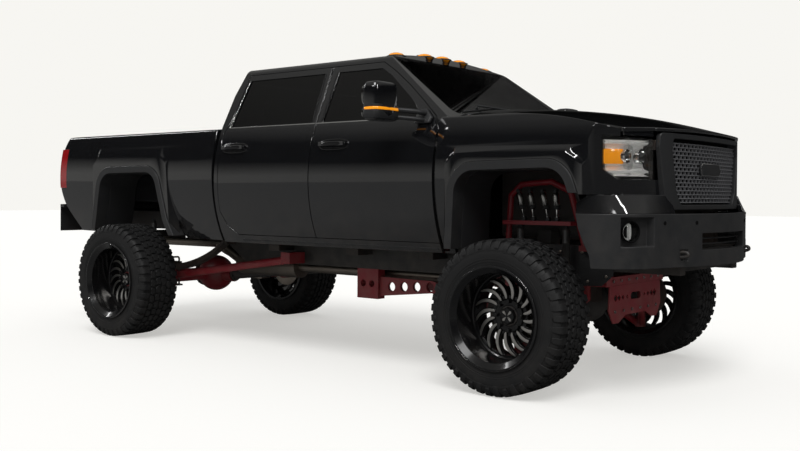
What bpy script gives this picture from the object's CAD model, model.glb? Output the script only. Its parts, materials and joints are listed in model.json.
"""Heavy-duty crew-cab pickup truck on a tall lifted suspension: its finishes, trim and small parts,
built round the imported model.  Metres, +X forward, +Y to the driver's left, +Z up."""
import json
from math import cos, hypot, pi, radians, sin, sqrt, tau

import bmesh
import bpy
from mathutils import Matrix, Vector, noise
from mathutils.bvhtree import BVHTree


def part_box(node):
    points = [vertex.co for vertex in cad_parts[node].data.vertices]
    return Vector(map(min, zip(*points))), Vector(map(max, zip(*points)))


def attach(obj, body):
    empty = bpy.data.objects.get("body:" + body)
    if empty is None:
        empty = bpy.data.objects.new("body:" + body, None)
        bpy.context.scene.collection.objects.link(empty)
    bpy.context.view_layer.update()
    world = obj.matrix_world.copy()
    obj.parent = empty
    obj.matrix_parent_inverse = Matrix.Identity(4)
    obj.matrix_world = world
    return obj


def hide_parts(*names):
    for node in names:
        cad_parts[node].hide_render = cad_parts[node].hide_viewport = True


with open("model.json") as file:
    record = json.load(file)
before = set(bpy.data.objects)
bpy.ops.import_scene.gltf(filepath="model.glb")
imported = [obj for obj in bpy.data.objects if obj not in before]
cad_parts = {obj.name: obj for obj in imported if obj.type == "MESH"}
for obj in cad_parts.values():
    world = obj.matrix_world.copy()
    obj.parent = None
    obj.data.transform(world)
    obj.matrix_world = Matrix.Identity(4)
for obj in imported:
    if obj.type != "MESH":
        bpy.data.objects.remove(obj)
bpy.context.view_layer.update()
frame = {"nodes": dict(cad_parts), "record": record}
NODES = frame["nodes"]
BODY_OF = {n: b for b, names in frame["record"]["behaviour"]["bodies"].items() for n in names}
SLOT_OF = {s["node"]: s["material_slot"] for s in frame["record"]["subparts"]}
SIDES = (("right", -1), ("left", 1))


# ------------------------------------------------------------------ shader groups
def socket(tree, name, kind, default=None, out=False):
    made = tree.interface.new_socket(name, in_out="OUTPUT" if out else "INPUT",
                                     socket_type="NodeSocket" + kind)
    if default is not None:
        made.default_value = default
    return made


def node(tree, kind, links=None, **values):
    """A node of a tree with its inputs set: a number or colour, or another node's output."""
    made = tree.nodes.new(kind)
    for key, value in values.items():
        setattr(made, key, value)
    for key, value in (links or {}).items():
        if isinstance(value, bpy.types.NodeSocket):
            tree.links.new(value, made.inputs[key])
        else:
            made.inputs[key].default_value = value
    return made


def maths(tree, operation, *inputs):
    """The output of a sum on numbers or other outputs."""
    return node(tree, "ShaderNodeMath", dict(enumerate(inputs)), operation=operation).outputs[0]


def ranged(tree, value, low=0.0, high=1.0, to_low=0.0, to_high=1.0):
    """A value carried from one range to another."""
    return node(tree, "ShaderNodeMapRange", {"Value": value, "From Min": low, "From Max": high,
                                             "To Min": to_low, "To Max": to_high}).outputs[0]


def shader_group(name, inputs, outputs):
    tree = bpy.data.node_groups.new(name, "ShaderNodeTree")
    for label, kind, default in inputs:
        socket(tree, label, kind, default)
    for label, kind in outputs:
        socket(tree, label, kind, out=True)
    return tree, node(tree, "NodeGroupInput"), node(tree, "NodeGroupOutput")


def make_grime_group():
    """Road dust: thicker low down and on ledges, broken up by two sizes of noise."""
    tree, start, end = shader_group(
        "road dust", [("Low", "Float", 0.3), ("High", "Float", 1.2), ("Amount", "Float", 0.5),
                      ("Patch size", "Float", 9.0)], [("Mask", "Float")])
    place = node(tree, "ShaderNodeTexCoord")
    split = node(tree, "ShaderNodeSeparateXYZ", {0: place.outputs["Object"]})
    fall = ranged(tree, split.outputs["Z"], start.outputs["High"], start.outputs["Low"])
    patches = node(tree, "ShaderNodeTexNoise", {"Vector": place.outputs["Object"], "Detail": 6.0,
                                                "Scale": start.outputs["Patch size"], "Roughness": 0.65})
    broken = ranged(tree, patches.outputs[0], 0.38, 0.72)
    both = maths(tree, "MULTIPLY", fall, broken)
    mask = maths(tree, "MULTIPLY", both, start.outputs["Amount"])
    tree.links.new(mask, end.inputs["Mask"])
    return tree


def make_texture_group():
    """Moulded grain, orange peel or casting skin: a fine height and a slow tone change."""
    tree, start, end = shader_group(
        "surface grain", [("Scale", "Float", 300.0), ("Depth", "Float", 0.2), ("Tone size", "Float", 4.0)],
        [("Normal", "Vector"), ("Tone", "Float")])
    place = node(tree, "ShaderNodeTexCoord")
    fine = node(tree, "ShaderNodeTexNoise", {"Vector": place.outputs["Object"],
                                             "Scale": start.outputs["Scale"], "Detail": 2.0})
    bump = node(tree, "ShaderNodeBump", {"Height": fine.outputs[0], "Strength": start.outputs["Depth"],
                                         "Distance": 0.0006})
    slow = node(tree, "ShaderNodeTexNoise", {"Vector": place.outputs["Object"], "Detail": 5.0,
                                             "Scale": start.outputs["Tone size"]})
    tree.links.new(bump.outputs[0], end.inputs["Normal"])
    tree.links.new(slow.outputs[0], end.inputs["Tone"])
    return tree


def make_wear_group():
    """Rubbed edges, from the curvature of the surface and a breaking noise."""
    tree, start, end = shader_group("edge wear", [("Sharpness", "Float", 0.53), ("Amount", "Float", 0.5)],
                                    [("Mask", "Float")])
    shape = node(tree, "ShaderNodeNewGeometry")
    place = node(tree, "ShaderNodeTexCoord")
    breaks = node(tree, "ShaderNodeTexNoise", {"Vector": place.outputs["Object"], "Scale": 60.0,
                                               "Detail": 4.0})
    edge = ranged(tree, shape.outputs["Pointiness"], start.outputs[0], 0.62)
    both = maths(tree, "MULTIPLY", edge, breaks.outputs[0])
    mask = maths(tree, "MULTIPLY", both, start.outputs["Amount"])
    tree.links.new(mask, end.inputs["Mask"])
    return tree


GRIME = make_grime_group()
GRAIN = make_texture_group()
WEAR = make_wear_group()
DUST_COLOUR = (0.21, 0.175, 0.14, 1)


def colour(r, g, b):
    return (r, g, b, 1)


def blank_material(name):
    """A new material, its emptied tree and the tree's output."""
    made = bpy.data.materials.new(name)
    made.use_nodes = True
    made.node_tree.nodes.clear()
    return made, made.node_tree, node(made.node_tree, "ShaderNodeOutputMaterial")


def finish(name, base, rough, metal=0.0, grain=(300.0, 0.2), tone=0.15, dust=(0.0, 0.3, 1.2), worn=None,
           extra=None):
    """A material with grain, slow colour change, road dust and, if asked, rubbed edges."""
    made, tree, out = blank_material(name)
    shader = node(tree, "ShaderNodeBsdfPrincipled", {"Metallic": metal})
    for key, value in (extra or {}).items():
        shader.inputs[key].default_value = value
    skin = node(tree, "ShaderNodeGroup", node_tree=GRAIN)
    skin.inputs["Scale"].default_value, skin.inputs["Depth"].default_value = grain
    darker = tuple(c * (1 - tone) for c in base[:3]) + (1,)
    lighter = tuple(min(1, c * (1 + tone)) for c in base[:3]) + (1,)
    shade = node(tree, "ShaderNodeMix", {0: skin.outputs["Tone"]}, data_type="RGBA")
    shade.inputs[6].default_value, shade.inputs[7].default_value = darker, lighter
    paint = shade.outputs[2]
    if worn:
        rub = node(tree, "ShaderNodeGroup", node_tree=WEAR)
        step = node(tree, "ShaderNodeMix", {0: rub.outputs[0], 6: paint, 7: worn}, data_type="RGBA")
        paint = step.outputs[2]
    polish = ranged(tree, skin.outputs["Tone"], 0.0, 1.0, rough * 0.85, min(1.0, rough * 1.15))
    if dust[0]:
        dirt = node(tree, "ShaderNodeGroup", node_tree=GRIME)
        dirt.inputs["Amount"].default_value, dirt.inputs["Low"].default_value = dust[0], dust[1]
        dirt.inputs["High"].default_value = dust[2]
        step = node(tree, "ShaderNodeMix", {0: dirt.outputs[0], 6: paint, 7: DUST_COLOUR}, data_type="RGBA")
        paint = step.outputs[2]
        dull = node(tree, "ShaderNodeMix", {0: dirt.outputs[0], 2: polish, 3: 0.85})
        polish = dull.outputs[0]
    tree.links.new(paint, shader.inputs["Base Color"])
    tree.links.new(polish, shader.inputs["Roughness"])
    tree.links.new(skin.outputs["Normal"], shader.inputs["Normal"])
    tree.links.new(shader.outputs[0], out.inputs[0])
    made.diffuse_color = base
    return made


def clear_glass(name, tint, rough=0.0):
    made, tree, out = blank_material(name)
    shader = node(tree, "ShaderNodeBsdfPrincipled",
                  {"Transmission Weight": 1.0, "IOR": 1.45, "Metallic": 0.0})
    place = node(tree, "ShaderNodeTexCoord")
    film = node(tree, "ShaderNodeTexNoise", {"Vector": place.outputs["Object"], "Scale": 2.5, "Detail": 3.0})
    smear = ranged(tree, film.outputs[0], 0.0, 1.0, rough, rough + 0.03)
    even = node(tree, "ShaderNodeMix", {0: film.outputs[0]}, data_type="RGBA")
    even.inputs[6].default_value = tuple(c * 0.9 for c in tint[:3]) + (1,)
    even.inputs[7].default_value = tint
    tree.links.new(even.outputs[2], shader.inputs["Base Color"])
    tree.links.new(smear, shader.inputs["Roughness"])
    tree.links.new(shader.outputs[0], out.inputs[0])
    return made


BLACK = colour(0.006, 0.0062, 0.007)
paint = finish("gloss black paint", BLACK, 0.06, grain=(90.0, 0.012), tone=0.2, dust=(0.10, 0.75, 1.25),
               extra={"Coat Weight": 1.0, "Coat Roughness": 0.03, "Coat IOR": 1.5})
trim = finish("satin dark trim", colour(0.017, 0.0175, 0.0185), 0.44, grain=(700.0, 0.25), tone=0.12,
              dust=(0.07, 0.8, 1.5))
window_glass = clear_glass("dark tinted glass", colour(0.05, 0.05, 0.052))
lens_glass = clear_glass("clear lens", colour(0.95, 0.96, 0.96))
red_lens = finish("red lens", colour(0.30, 0.006, 0.008), 0.12, grain=(60.0, 0.05),
                  extra={"Coat Weight": 1.0, "Coat Roughness": 0.02})
rubber = finish("tyre rubber", colour(0.0095, 0.0095, 0.0098), 0.60, grain=(420.0, 0.5), tone=0.2,
                dust=(0.06, 0.0, 0.9), extra={"Specular IOR Level": 0.35})
rim_black = finish("satin black wheel", colour(0.0045, 0.0045, 0.005), 0.22, grain=(120.0, 0.02),
                   dust=(0.03, 0.1, 0.8), extra={"Coat Weight": 0.35, "Coat Roughness": 0.08,
                                                 "Specular IOR Level": 0.3})
milled = finish("milled aluminium", colour(0.62, 0.60, 0.57), 0.30, metal=1.0, grain=(900.0, 0.35), tone=0.08)
lift_red = finish("red powder coat", colour(0.20, 0.010, 0.016), 0.38, grain=(260.0, 0.35), tone=0.22,
                  dust=(0.35, 0.2, 1.1), worn=colour(0.10, 0.02, 0.02))
chassis = finish("satin black chassis", colour(0.020, 0.019, 0.018), 0.55, grain=(200.0, 0.4), tone=0.25,
                 dust=(0.30, 0.3, 1.1), worn=colour(0.09, 0.05, 0.03))
cast = finish("cast iron", colour(0.085, 0.082, 0.080), 0.60, metal=0.6, grain=(240.0, 0.9), tone=0.3,
              dust=(0.35, 0.2, 1.2), worn=colour(0.16, 0.09, 0.05))
steel = finish("heat-stained steel", colour(0.33, 0.29, 0.25), 0.36, metal=1.0, grain=(160.0, 0.3), tone=0.35,
               dust=(0.35, 0.3, 1.2))
shock_steel = finish("plated shock tubes", colour(0.55, 0.54, 0.52), 0.22, metal=1.0, grain=(500.0, 0.15),
                     tone=0.1, dust=(0.10, 0.9, 1.3))
interior = finish("moulded cabin plastic", colour(0.018, 0.018, 0.019), 0.6, grain=(600.0, 0.6), tone=0.1)
leather = finish("seat leather", colour(0.020, 0.018, 0.017), 0.48, grain=(340.0, 1.0), tone=0.2)
chrome = finish("bright plated trim", colour(0.72, 0.72, 0.71), 0.10, metal=1.0, grain=(40.0, 0.01),
                tone=0.03)
amber = finish("amber lens", colour(0.95, 0.30, 0.006), 0.16, grain=(90.0, 0.3), tone=0.15,
               extra={"Coat Weight": 1.0, "Coat Roughness": 0.02, "Emission Color": colour(1.0, 0.36, 0.01),
                      "Emission Strength": 0.45})
reflector = finish("satin reflector", colour(0.90, 0.89, 0.87), 0.30, metal=0.25, grain=(60.0, 0.05),
                   tone=0.06, extra={"Emission Color": colour(1.0, 0.98, 0.94), "Emission Strength": 0.10})
black_hole = finish("deep black mesh", colour(0.003, 0.003, 0.003), 0.8, grain=(300.0, 0.4),
                    extra={"Specular IOR Level": 0.1})
slat_grey = finish("grey grille bars", colour(0.12, 0.12, 0.125), 0.34, grain=(500.0, 0.2), tone=0.1)
MATERIAL = {"paint": paint, "trim": trim, "glass": window_glass, "lamp": lens_glass, "tail_lamp": red_lens,
            "tyre": rubber, "rim": rim_black, "lift_red": lift_red, "chassis": chassis, "cast": cast,
            "steel": steel, "interior": interior, "seat": leather}


# ------------------------------------------------------------------ making pieces
def piece(name, mesh, material, body, smooth=40):
    """A finished object on its body; smooth is the angle, in degrees, below which edges shade smoothly."""
    made = bpy.data.objects.new(name, mesh)
    bpy.context.scene.collection.objects.link(made)
    mesh.materials.clear()
    mesh.materials.append(material)
    if smooth:
        mesh.shade_smooth()
        mesh.set_sharp_from_angle(angle=radians(smooth))
    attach(made, body)
    return made


def mesh_of(shape, name="shape"):
    mesh = bpy.data.meshes.new(name)
    shape.to_mesh(mesh)
    shape.free()
    return mesh


def walled(made, thickness):
    """Gives an open skin its thickness."""
    made.modifiers.new("wall", "SOLIDIFY").thickness = thickness
    return applied(made)


def applied(made):
    """Turns an object's modifiers into plain mesh."""
    graph = bpy.context.evaluated_depsgraph_get()
    mesh = bpy.data.meshes.new_from_object(made.evaluated_get(graph), depsgraph=graph)
    made.modifiers.clear()
    made.data = mesh
    return made


def closed_band(shape, rows, closed_rows=False, closed_loop=True):
    """Joins rows of points into a skin."""
    made = [[shape.verts.new(p) for p in row] for row in rows]
    turns = len(made) if closed_rows else len(made) - 1
    for r in range(turns):
        a, b = made[r], made[(r + 1) % len(made)]
        steps = len(a) if closed_loop else len(a) - 1
        for i in range(steps):
            j = (i + 1) % len(a)
            shape.faces.new((a[i], a[j], b[j], b[i]))
    return made


def capped(shape, rows):
    made = closed_band(shape, rows)
    shape.faces.new(list(reversed(made[0])))
    shape.faces.new(made[-1])
    return made


def outward(shape):
    bmesh.ops.remove_doubles(shape, verts=shape.verts, dist=1e-6)
    bmesh.ops.recalc_face_normals(shape, faces=shape.faces)
    return shape


def block(shape, centre, size, taper=0.0):
    """A box with a slightly smaller outer end."""
    corners = []
    for k in (-1, 1):
        grow = 1 - taper * (k > 0)
        for i, j in ((-1, -1), (1, -1), (1, 1), (-1, 1)):
            spot = Vector((i * size[0] / 2 * grow, j * size[1] / 2 * grow, k * size[2] / 2))
            corners.append(shape.verts.new(Vector(centre) + spot))
    for face in ((3, 2, 1, 0), (4, 5, 6, 7), (0, 1, 5, 4), (1, 2, 6, 5), (2, 3, 7, 6), (3, 0, 4, 7)):
        shape.faces.new([corners[i] for i in face])


def along(direction):
    """A turn that takes Z to a direction."""
    return Vector(direction).to_track_quat("Z", "Y").to_matrix()


def drum(shape, centre, axis, profile, sides=24):
    """Turns a profile of (distance along the axis, radius) into a closed solid."""
    turn = along(axis)
    rows = []
    for reach, radius in profile:
        rows.append([Vector(centre) + turn @ Vector((radius * cos(tau * i / sides),
                                                     radius * sin(tau * i / sides), reach))
                     for i in range(sides)])
    capped(shape, rows)


def lofted(rows):
    """A closed solid through rows of points, facing outwards."""
    shape = bmesh.new()
    capped(shape, rows)
    return outward(shape)


def turned(centre, axis, profile, sides=24):
    """A closed solid of revolution, facing outwards."""
    shape = bmesh.new()
    drum(shape, centre, axis, profile, sides)
    return outward(shape)


def tube(shape, points, radius, sides=10):
    """A round bar along a bent path."""
    points = [Vector(p) for p in points]
    rows = []
    side = None
    for i, p in enumerate(points):
        before, after = points[max(i - 1, 0)], points[min(i + 1, len(points) - 1)]
        run = (after - before).normalized()
        if side is None:
            side = run.orthogonal().normalized()
        side = (side - run * side.dot(run)).normalized()
        other = run.cross(side)
        rows.append([p + (side * cos(tau * k / sides) + other * sin(tau * k / sides)) * radius
                     for k in range(sides)])
    capped(shape, rows)


def bent(points, radius, steps=5):
    """A path with its corners rounded."""
    points = [Vector(p) for p in points]
    path = [points[0]]
    for a, b, c in zip(points, points[1:], points[2:]):
        start = b + (a - b).normalized() * min(radius, (a - b).length / 2)
        end = b + (c - b).normalized() * min(radius, (c - b).length / 2)
        for k in range(steps + 1):
            t = k / steps
            path.append(start * (1 - t) ** 2 + b * 2 * t * (1 - t) + end * t * t)
    path.append(points[-1])
    return path


def cleared(mesh):
    """Drops the normals that a changed mesh no longer fits."""
    if "custom_normal" in mesh.attributes:
        mesh.attributes.remove(mesh.attributes["custom_normal"])


def softened(node_name, width):
    """A copy of a CAD piece with its loose triangles joined and its sharp edges rounded."""
    mesh = NODES[node_name].data.copy()
    shape = bmesh.new()
    shape.from_mesh(mesh)
    bmesh.ops.remove_doubles(shape, verts=shape.verts, dist=2e-5)
    bmesh.ops.dissolve_limit(shape, angle_limit=radians(0.6), verts=shape.verts, edges=shape.edges)
    shape.to_mesh(mesh)
    shape.free()
    cleared(mesh)
    made = piece(node_name + "_body", mesh, MATERIAL[SLOT_OF[node_name]], BODY_OF[node_name],
                 smooth=0)
    mesh.shade_smooth()
    round_off = made.modifiers.new("edges", "BEVEL")
    round_off.width, round_off.segments, round_off.limit_method = width, 2, "ANGLE"
    round_off.angle_limit = radians(32)
    round_off.use_clamp_overlap = False
    round_off.harden_normals = True
    weigh = made.modifiers.new("shade", "WEIGHTED_NORMAL")
    weigh.keep_sharp = True
    applied(made)
    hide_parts(node_name)
    return made


# ------------------------------------------------------------------ geometry nodes
def ring_tree():
    """Copies of a piece turned round the Y axis, realized, in one material."""
    tree = bpy.data.node_groups.new("ring of pieces", "GeometryNodeTree")
    socket(tree, "Geometry", "Geometry")
    socket(tree, "Count", "Int", 12)
    socket(tree, "Start angle", "Float", 0.0)
    socket(tree, "Material", "Material")
    socket(tree, "Geometry", "Geometry", out=True)
    start, end = node(tree, "NodeGroupInput"), node(tree, "NodeGroupOutput")
    spots = node(tree, "GeometryNodePoints", {"Count": start.outputs["Count"]})
    place = node(tree, "GeometryNodeInputIndex")
    part = maths(tree, "DIVIDE", place.outputs[0], start.outputs["Count"])
    turn = maths(tree, "MULTIPLY_ADD", part, tau, start.outputs["Start angle"])
    angles = node(tree, "ShaderNodeCombineXYZ", {1: turn})
    copies = node(tree, "GeometryNodeInstanceOnPoints", {"Points": spots.outputs[0],
                                                         "Instance": start.outputs["Geometry"]})
    to_turn = node(tree, "FunctionNodeEulerToRotation", {0: angles.outputs[0]})
    tree.links.new(to_turn.outputs[0], copies.inputs["Rotation"])
    real = node(tree, "GeometryNodeRealizeInstances", {0: copies.outputs[0]})
    painted = node(tree, "GeometryNodeSetMaterial",
                   {0: real.outputs[0], "Material": start.outputs["Material"]})
    tree.links.new(painted.outputs[0], end.inputs[0])
    return tree


def grid_tree():
    """Copies of a piece in rows, with every second row shifted sideways."""
    tree = bpy.data.node_groups.new("rows of pieces", "GeometryNodeTree")
    socket(tree, "Geometry", "Geometry")
    for name, kind, default in (("Columns", "Int", 4), ("Rows", "Int", 1),
                                ("Column step", "Vector", (0, 0.1, 0)), ("Row step", "Vector", (0, 0, 0.1)),
                                ("Start", "Vector", (0, 0, 0)), ("Shift", "Float", 0.0)):
        socket(tree, name, kind, default)
    socket(tree, "Material", "Material")
    socket(tree, "Geometry", "Geometry", out=True)
    start, end = node(tree, "NodeGroupInput"), node(tree, "NodeGroupOutput")
    total = maths(tree, "MULTIPLY", start.outputs["Columns"], start.outputs["Rows"])
    spots = node(tree, "GeometryNodePoints", {"Count": total})
    index = node(tree, "GeometryNodeInputIndex")
    ratio = maths(tree, "DIVIDE", index.outputs[0], start.outputs["Columns"])
    nudged = maths(tree, "ADD", ratio, 1e-4)
    row = maths(tree, "FLOOR", nudged)
    column = maths(tree, "MODULO", index.outputs[0], start.outputs["Columns"])
    odd = maths(tree, "MODULO", row, 2.0)
    slid = maths(tree, "MULTIPLY_ADD", odd, start.outputs["Shift"], column)
    across = node(tree, "ShaderNodeVectorMath", {0: start.outputs["Column step"]}, operation="SCALE")
    tree.links.new(slid, across.inputs["Scale"])
    up = node(tree, "ShaderNodeVectorMath", {0: start.outputs["Row step"]}, operation="SCALE")
    tree.links.new(row, up.inputs["Scale"])
    both = node(tree, "ShaderNodeVectorMath", {0: across.outputs[0], 1: up.outputs[0]}, operation="ADD")
    place = node(tree, "ShaderNodeVectorMath", {0: both.outputs[0], 1: start.outputs["Start"]},
                 operation="ADD")
    moved = node(tree, "GeometryNodeSetPosition", {"Geometry": spots.outputs[0],
                                                   "Position": place.outputs[0]})
    copies = node(tree, "GeometryNodeInstanceOnPoints", {"Points": moved.outputs[0],
                                                         "Instance": start.outputs["Geometry"]})
    real = node(tree, "GeometryNodeRealizeInstances", {0: copies.outputs[0]})
    painted = node(tree, "GeometryNodeSetMaterial",
                   {0: real.outputs[0], "Material": start.outputs["Material"]})
    tree.links.new(painted.outputs[0], end.inputs[0])
    return tree


RING = ring_tree()
ROWS = grid_tree()


def repeated(name, shape, tree, material, body, slot_name=None, turn=None, move=None, smooth=40, **values):
    """One small shape repeated by a node tree as one plain mesh, then turned and moved into place."""
    made = bpy.data.objects.new(name, mesh_of(shape, name))
    bpy.context.scene.collection.objects.link(made)
    repeat = made.modifiers.new("repeat", "NODES")
    repeat.node_group = tree
    by_name = {item.name: item.identifier for item in tree.interface.items_tree if item.in_out == "INPUT"}
    for key, value in {"Material": material, **values}.items():
        repeat[by_name[key.replace("_", " ")]] = value
    applied(made)
    mesh = made.data
    bpy.data.objects.remove(made)
    if turn:
        mesh.transform(turn.to_4x4())
    if move is not None:
        mesh.transform(Matrix.Translation(move))
    return piece(name, mesh, material, body, smooth)


# ------------------------------------------------------------------ painted panels and metalwork
ROUNDING = {
    "cab_shell": 0.004, "hood": 0.004, "front_fenders": 0.003, "pickup_bed": 0.003, "tailgate": 0.004,
    "nose_panel": 0.003, "grille": 0.004, "front_bumper": 0.004, "rear_bumper": 0.004, "arch_flares": 0.003,
    "skid_plate": 0.002, "lift_crossmembers": 0.002, "chassis_frame": 0.003, "tow_hitch": 0.002,
    "door_front_left": 0.002, "door_front_right": 0.002, "door_rear_left": 0.002, "door_rear_right": 0.002,
}
for name, item in NODES.items():
    item.data.materials.clear()
    item.data.materials.append(MATERIAL[SLOT_OF[name]])
for name, width in ROUNDING.items():
    softened(name, width)

# ------------------------------------------------------------------ camera, light and floor
IMAGE_WIDTH = 800
camera_data = bpy.data.cameras.new("camera")
camera = bpy.data.objects.new("camera", camera_data)
bpy.context.scene.collection.objects.link(camera)
bpy.context.scene.camera = camera
CAMERA_SPOT = (5.318, -6.146, 1.218)
YAW, PITCH, ROLL = radians(129.011), radians(-0.609), radians(0.364)
FOCAL, SHIFT = 982.0, (2.5, -19.35)
ahead = Vector((cos(YAW) * cos(PITCH), sin(YAW) * cos(PITCH), sin(PITCH)))
flat_right = Vector((sin(YAW), -cos(YAW), 0))
flat_up = flat_right.cross(ahead)
right = cos(ROLL) * flat_right + sin(ROLL) * flat_up
up = -sin(ROLL) * flat_right + cos(ROLL) * flat_up
facing_camera = Matrix((right, up, -ahead)).transposed().to_4x4()
camera.matrix_world = Matrix.Translation(CAMERA_SPOT) @ facing_camera
camera_data.sensor_width = 36
camera_data.lens = FOCAL * camera_data.sensor_width / IMAGE_WIDTH
camera_data.shift_x = SHIFT[0] / IMAGE_WIDTH
camera_data.shift_y = SHIFT[1] / IMAGE_WIDTH
camera_data.clip_end = 200

BACKDROP = colour(0.93, 0.92, 0.885)
DARK_SIDE = (0.63, 0.777, 0.0)


def lit_world():
    """A pale studio: plain to the camera, and to gloss a pale wall below a dim ceiling."""
    world = bpy.data.worlds.new("studio")
    bpy.context.scene.world = world
    world.use_nodes = True
    tree = world.node_tree
    tree.nodes.clear()
    out = node(tree, "ShaderNodeOutputWorld")
    path = node(tree, "ShaderNodeLightPath")
    place = node(tree, "ShaderNodeTexCoord")
    split = node(tree, "ShaderNodeSeparateXYZ", {0: place.outputs["Generated"]})
    facing = node(tree, "ShaderNodeVectorMath", {0: place.outputs["Generated"], 1: DARK_SIDE},
                  operation="DOT_PRODUCT")
    bright = ranged(tree, facing.outputs["Value"], -0.85, -0.15, 0.38, 0.07)
    low = ranged(tree, split.outputs["Z"], 0.06, 0.20, 1.0, 0.03)
    high = ranged(tree, split.outputs["Z"], 0.40, 0.62, 0.0, 0.26)
    below = maths(tree, "MULTIPLY", bright, low)
    rise = maths(tree, "ADD", below, high)
    wall = node(tree, "ShaderNodeBackground", {"Color": BACKDROP, "Strength": rise})
    fill = node(tree, "ShaderNodeBackground", {"Color": colour(0.97, 0.98, 1.0), "Strength": 0.50})
    plain = node(tree, "ShaderNodeBackground", {"Color": BACKDROP, "Strength": 1.0})
    mirrored = maths(tree, "MAXIMUM", path.outputs["Is Glossy Ray"], path.outputs["Is Transmission Ray"])
    shine = node(tree, "ShaderNodeMixShader", {0: mirrored, 1: fill.outputs[0], 2: wall.outputs[0]})
    seen = node(tree, "ShaderNodeMixShader", {0: path.outputs["Is Camera Ray"], 1: shine.outputs[0],
                                              2: plain.outputs[0]})
    tree.links.new(seen.outputs[0], out.inputs[0])


def floor_material():
    """A pale floor that keeps the shadow and runs into the backdrop."""
    made, tree, out = blank_material("studio floor")
    path = node(tree, "ShaderNodeLightPath")
    place = node(tree, "ShaderNodeNewGeometry")
    facing = node(tree, "ShaderNodeVectorMath", {0: place.outputs["Position"], 1: DARK_SIDE},
                  operation="DOT_PRODUCT")
    dim = ranged(tree, facing.outputs["Value"], -2.5, 1.0, 0.58, 0.88)
    dimmed = maths(tree, "MULTIPLY", path.outputs["Is Glossy Ray"], dim)
    shade = node(tree, "ShaderNodeMix", {0: dimmed, 6: colour(0.62, 0.615, 0.60), 7: colour(0, 0, 0)},
                 data_type="RGBA")
    matt = node(tree, "ShaderNodeBsdfDiffuse", {"Color": shade.outputs[2]})
    glow = node(tree, "ShaderNodeEmission", {"Color": BACKDROP, "Strength": 0.52})
    shown = node(tree, "ShaderNodeAddShader", {0: matt.outputs[0], 1: glow.outputs[0]})
    mix = node(tree, "ShaderNodeMixShader", {0: path.outputs["Is Camera Ray"], 1: matt.outputs[0],
                                             2: shown.outputs[0]})
    tree.links.new(mix.outputs[0], out.inputs[0])
    return made


lit_world()
floor_shape = bmesh.new()
bmesh.ops.create_grid(floor_shape, x_segments=4, y_segments=4, size=60)
floor = bpy.data.objects.new("studio_floor", mesh_of(floor_shape))
bpy.context.scene.collection.objects.link(floor)
floor.data.materials.append(floor_material())


def lamp(name, kind, place, aim, energy, size=1.0, length=None, diffuse=True):
    data = bpy.data.lights.new(name, kind)
    data.energy = energy
    if kind == "AREA":
        data.shape = "RECTANGLE"
        data.size, data.size_y = size, length or size
    else:
        data.angle = radians(size)
    made = bpy.data.objects.new(name, data)
    bpy.context.scene.collection.objects.link(made)
    made.location = place
    made.rotation_mode = "QUATERNION"
    made.rotation_quaternion = (Vector(aim) - Vector(place)).to_track_quat("-Z", "Y")
    made.visible_diffuse = diffuse
    return made


lamp("key", "SUN", (6, -9, 14), (0, 0, 0), 1.5, 30)
lamp("side strip", "AREA", (1.0, -9.0, 6.6), (0.5, 0, 1.6), 160, 5.0, 0.35, diffuse=False)
lamp("front strip", "AREA", (9.0, -2.0, 6.0), (2.5, 0, 1.5), 130, 0.4, 4.0, diffuse=False)
lamp("rear strip", "AREA", (-9.0, -3.0, 6.0), (-2.5, 0, 1.5), 110, 0.4, 4.0, diffuse=False)

view = bpy.context.scene.view_settings
view.view_transform = "Standard"

# ------------------------------------------------------------------ tyres and wheels
WHEEL_Y, AXLE_Z = 1.005, 0.480
FRONT_X, REAR_X = 2.040, -1.864
WHEELS = [(end + "_" + side, sign, FRONT_X if end == "front" else REAR_X)
          for end in ("front", "rear") for side, sign in SIDES]
TYRE_RADIUS, TREAD_BASE = 0.4795, 0.466
LUG_COUNT = 44
# distance outward from the middle of the tyre, and radius
TYRE_PROFILE = [(-0.182, 0.306), (-0.184, 0.318), (-0.1835, 0.330), (-0.1865, 0.345), (-0.189, 0.370),
                (-0.1895, 0.392), (-0.187, 0.412), (-0.182, 0.432), (-0.174, 0.450), (-0.163, 0.4615),
                (-0.146, 0.4645), (-0.080, TREAD_BASE), (0, TREAD_BASE), (0.080, TREAD_BASE), (0.146, 0.4645),
                (0.163, 0.4615), (0.174, 0.450), (0.182, 0.432), (0.187, 0.412), (0.1895, 0.392),
                (0.189, 0.370), (0.1865, 0.345), (0.1835, 0.330), (0.184, 0.318), (0.182, 0.306),
                (0.150, 0.300), (0.130, 0.345), (0.150, 0.42), (0.0, 0.44), (-0.150, 0.42), (-0.130, 0.345),
                (-0.150, 0.300)]


def spun(profile, sides=128):
    """A closed ring from a profile of (y, radius), turned about the Y axis."""
    shape = bmesh.new()
    rows = [[(r * sin(tau * i / sides), y, r * cos(tau * i / sides)) for y, r in profile]
            for i in range(sides)]
    closed_band(shape, rows, closed_rows=True)
    return outward(shape)


def tread_lug(outline, low, high, slope=0.0025, lean=0.0):
    """A rubber block on the tread; outline is (distance round, distance across) in metres."""
    middle = (sum(p[0] for p in outline) / len(outline), sum(p[1] for p in outline) / len(outline))
    rows = []
    for level, radius in enumerate((low, high - 0.002, high)):
        shrink = (0.0, slope * 0.6, slope * 0.6 + 0.0018)[level]
        row = []
        for s, y in outline:
            ds, dy = middle[0] - s, middle[1] - y
            reach = hypot(ds, dy)
            s, y = s + ds / reach * shrink, y + dy / reach * shrink
            drop = lean * max(0.0, abs(y) - 0.145)
            turn = s / TREAD_BASE
            r = radius - drop
            row.append((r * sin(turn), y, r * cos(turn)))
        rows.append(row)
    return lofted(rows)


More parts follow.
